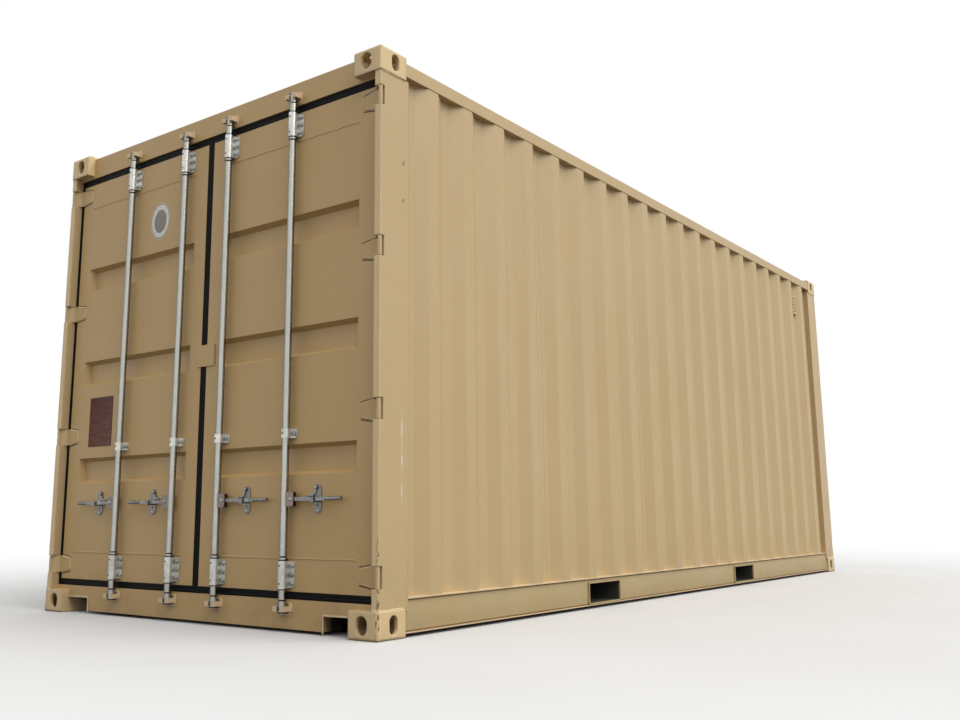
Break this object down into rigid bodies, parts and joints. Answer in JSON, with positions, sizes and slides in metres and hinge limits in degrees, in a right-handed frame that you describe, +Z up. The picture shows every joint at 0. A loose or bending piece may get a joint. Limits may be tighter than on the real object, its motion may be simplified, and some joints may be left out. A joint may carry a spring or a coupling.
{
  "type": "dry freight container with doors at both ends",
  "caption": "Twenty-foot corrugated steel freight container with a pair of hinged doors at each end, turning lock rods, lifting handles and corner castings.",
  "frame": {"origin": "middle of the base, on the ground plane under the bottom corner castings", "axes": "+X along the length to the front end, +Y to the left seen from the rear, +Z up"},
  "size_m": [6.058, 2.438, 2.591],
  "materials": {
    "side_paint": "satin tan paint",
    "end_paint": "satin tan paint",
    "base_paint": "dull dark coating",
    "plywood": "oiled plywood",
    "black_rubber": "matt rubber",
    "zinc": "hot-dip zinc",
    "zinc_rod": "bright zinc"
  },
  "bodies": {
    "frame": {"rear_castings": "side_paint", "front_castings": "side_paint", "rear_posts": "side_paint", "front_posts": "side_paint", "rear_header": "end_paint", "front_header": "end_paint", "rear_sill": "end_paint", "front_sill": "end_paint", "top_rails": "side_paint", "bottom_rails": "side_paint", "forklift_pockets": "base_paint", "cross_members": "base_paint", "floor": "plywood", "left_wall": "side_paint", "right_wall": "side_paint", "ventilators": "side_paint", "roof": "side_paint", "rear_keepers": "end_paint", "front_keepers": "end_paint"},
    "rear_left_door": {"rear_left_door": "end_paint", "rear_left_gasket": "black_rubber", "rear_left_fittings": "zinc"},
    "rear_left_outer_rod": {"rear_left_outer_rod": "zinc_rod"},
    "rear_left_outer_handle": {"rear_left_outer_handle": "zinc"},
    "rear_left_outer_flap": {"rear_left_outer_flap": "zinc"},
    "rear_left_inner_rod": {"rear_left_inner_rod": "zinc_rod"},
    "rear_left_inner_handle": {"rear_left_inner_handle": "zinc"},
    "rear_left_inner_flap": {"rear_left_inner_flap": "zinc"},
    "rear_right_door": {"rear_right_door": "end_paint", "rear_right_gasket": "black_rubber", "rear_right_fittings": "zinc"},
    "rear_right_outer_rod": {"rear_right_outer_rod": "zinc_rod"},
    "rear_right_outer_handle": {"rear_right_outer_handle": "zinc"},
    "rear_right_outer_flap": {"rear_right_outer_flap": "zinc"},
    "rear_right_inner_rod": {"rear_right_inner_rod": "zinc_rod"},
    "rear_right_inner_handle": {"rear_right_inner_handle": "zinc"},
    "rear_right_inner_flap": {"rear_right_inner_flap": "zinc"},
    "front_left_door": {"front_left_door": "end_paint", "front_left_gasket": "black_rubber", "front_left_fittings": "zinc"},
    "front_left_outer_rod": {"front_left_outer_rod": "zinc_rod"},
    "front_left_outer_handle": {"front_left_outer_handle": "zinc"},
    "front_left_outer_flap": {"front_left_outer_flap": "zinc"},
    "front_left_inner_rod": {"front_left_inner_rod": "zinc_rod"},
    "front_left_inner_handle": {"front_left_inner_handle": "zinc"},
    "front_left_inner_flap": {"front_left_inner_flap": "zinc"},
    "front_right_door": {"front_right_door": "end_paint", "front_right_gasket": "black_rubber", "front_right_fittings": "zinc"},
    "front_right_outer_rod": {"front_right_outer_rod": "zinc_rod"},
    "front_right_outer_handle": {"front_right_outer_handle": "zinc"},
    "front_right_outer_flap": {"front_right_outer_flap": "zinc"},
    "front_right_inner_rod": {"front_right_inner_rod": "zinc_rod"},
    "front_right_inner_handle": {"front_right_inner_handle": "zinc"},
    "front_right_inner_flap": {"front_right_inner_flap": "zinc"}
  },
  "joints": [
    {"name": "rear_left_door_hinge", "type": "hinge", "parent": "frame", "child": "rear_left_door", "pos_m": [-3.0135, 1.2045, 1.2955], "axis": [0, 0, -1], "range_deg": [0, 265]},
    {"name": "rear_left_outer_rod_turn", "type": "hinge", "parent": "rear_left_door", "child": "rear_left_outer_rod", "pos_m": [-3.006, 0.638, 1.2955], "axis": [0, 0, -1], "range_deg": [-90, 0]},
    {"name": "rear_left_outer_handle_lift", "type": "hinge", "parent": "rear_left_outer_rod", "child": "rear_left_outer_handle", "pos_m": [-3.006, 0.684, 0.578], "axis": [-1, 0, 0], "range_deg": [-90, 0]},
    {"name": "rear_left_outer_flap_swivel", "type": "hinge", "parent": "rear_left_door", "child": "rear_left_outer_flap", "pos_m": [-2.9833, 0.814, 0.628], "axis": [1, 0, 0], "range_deg": [-80, 0]},
    {"name": "rear_left_inner_rod_turn", "type": "hinge", "parent": "rear_left_door", "child": "rear_left_inner_rod", "pos_m": [-3.006, 0.173, 1.2955], "axis": [0, 0, -1], "range_deg": [-90, 0]},
    {"name": "rear_left_inner_handle_lift", "type": "hinge", "parent": "rear_left_inner_rod", "child": "rear_left_inner_handle", "pos_m": [-3.006, 0.219, 0.578], "axis": [-1, 0, 0], "range_deg": [-90, 0]},
    {"name": "rear_left_inner_flap_swivel", "type": "hinge", "parent": "rear_left_door", "child": "rear_left_inner_flap", "pos_m": [-2.9833, 0.349, 0.628], "axis": [1, 0, 0], "range_deg": [-80, 0]},
    {"name": "rear_right_door_hinge", "type": "hinge", "parent": "frame", "child": "rear_right_door", "pos_m": [-3.0135, -1.2045, 1.2955], "axis": [0, 0, 1], "range_deg": [0, 265]},
    {"name": "rear_right_outer_rod_turn", "type": "hinge", "parent": "rear_right_door", "child": "rear_right_outer_rod", "pos_m": [-3.006, -0.638, 1.2955], "axis": [0, 0, 1], "range_deg": [-90, 0]},
    {"name": "rear_right_outer_handle_lift", "type": "hinge", "parent": "rear_right_outer_rod", "child": "rear_right_outer_handle", "pos_m": [-3.006, -0.684, 0.578], "axis": [1, 0, 0], "range_deg": [-90, 0]},
    {"name": "rear_right_outer_flap_swivel", "type": "hinge", "parent": "rear_right_door", "child": "rear_right_outer_flap", "pos_m": [-2.9833, -0.814, 0.628], "axis": [-1, 0, 0], "range_deg": [-80, 0]},
    {"name": "rear_right_inner_rod_turn", "type": "hinge", "parent": "rear_right_door", "child": "rear_right_inner_rod", "pos_m": [-3.006, -0.173, 1.2955], "axis": [0, 0, 1], "range_deg": [-90, 0]},
    {"name": "rear_right_inner_handle_lift", "type": "hinge", "parent": "rear_right_inner_rod", "child": "rear_right_inner_handle", "pos_m": [-3.006, -0.219, 0.578], "axis": [1, 0, 0], "range_deg": [-90, 0]},
    {"name": "rear_right_inner_flap_swivel", "type": "hinge", "parent": "rear_right_door", "child": "rear_right_inner_flap", "pos_m": [-2.9833, -0.349, 0.628], "axis": [-1, 0, 0], "range_deg": [-80, 0]},
    {"name": "front_left_door_hinge", "type": "hinge", "parent": "frame", "child": "front_left_door", "pos_m": [3.0135, -1.2045, 1.2955], "axis": [0, 0, -1], "range_deg": [0, 265]},
    {"name": "front_left_outer_rod_turn", "type": "hinge", "parent": "front_left_door", "child": "front_left_outer_rod", "pos_m": [3.006, -0.638, 1.2955], "axis": [0, 0, -1], "range_deg": [-90, 0]},
    {"name": "front_left_outer_handle_lift", "type": "hinge", "parent": "front_left_outer_rod", "child": "front_left_outer_handle", "pos_m": [3.006, -0.684, 0.578], "axis": [1, 0, 0], "range_deg": [-90, 0]},
    {"name": "front_left_outer_flap_swivel", "type": "hinge", "parent": "front_left_door", "child": "front_left_outer_flap", "pos_m": [2.9833, -0.814, 0.628], "axis": [-1, 0, 0], "range_deg": [-80, 0]},
    {"name": "front_left_inner_rod_turn", "type": "hinge", "parent": "front_left_door", "child": "front_left_inner_rod", "pos_m": [3.006, -0.173, 1.2955], "axis": [0, 0, -1], "range_deg": [-90, 0]},
    {"name": "front_left_inner_handle_lift", "type": "hinge", "parent": "front_left_inner_rod", "child": "front_left_inner_handle", "pos_m": [3.006, -0.219, 0.578], "axis": [1, 0, 0], "range_deg": [-90, 0]},
    {"name": "front_left_inner_flap_swivel", "type": "hinge", "parent": "front_left_door", "child": "front_left_inner_flap", "pos_m": [2.9833, -0.349, 0.628], "axis": [-1, 0, 0], "range_deg": [-80, 0]},
    {"name": "front_right_door_hinge", "type": "hinge", "parent": "frame", "child": "front_right_door", "pos_m": [3.0135, 1.2045, 1.2955], "axis": [0, 0, 1], "range_deg": [0, 265]},
    {"name": "front_right_outer_rod_turn", "type": "hinge", "parent": "front_right_door", "child": "front_right_outer_rod", "pos_m": [3.006, 0.638, 1.2955], "axis": [0, 0, 1], "range_deg": [-90, 0]},
    {"name": "front_right_outer_handle_lift", "type": "hinge", "parent": "front_right_outer_rod", "child": "front_right_outer_handle", "pos_m": [3.006, 0.684, 0.578], "axis": [-1, 0, 0], "range_deg": [-90, 0]},
    {"name": "front_right_outer_flap_swivel", "type": "hinge", "parent": "front_right_door", "child": "front_right_outer_flap", "pos_m": [2.9833, 0.814, 0.628], "axis": [1, 0, 0], "range_deg": [-80, 0]},
    {"name": "front_right_inner_rod_turn", "type": "hinge", "parent": "front_right_door", "child": "front_right_inner_rod", "pos_m": [3.006, 0.173, 1.2955], "axis": [0, 0, 1], "range_deg": [-90, 0]},
    {"name": "front_right_inner_handle_lift", "type": "hinge", "parent": "front_right_inner_rod", "child": "front_right_inner_handle", "pos_m": [3.006, 0.219, 0.578], "axis": [-1, 0, 0], "range_deg": [-90, 0]},
    {"name": "front_right_inner_flap_swivel", "type": "hinge", "parent": "front_right_door", "child": "front_right_inner_flap", "pos_m": [2.9833, 0.349, 0.628], "axis": [1, 0, 0], "range_deg": [-80, 0]}
  ]
}
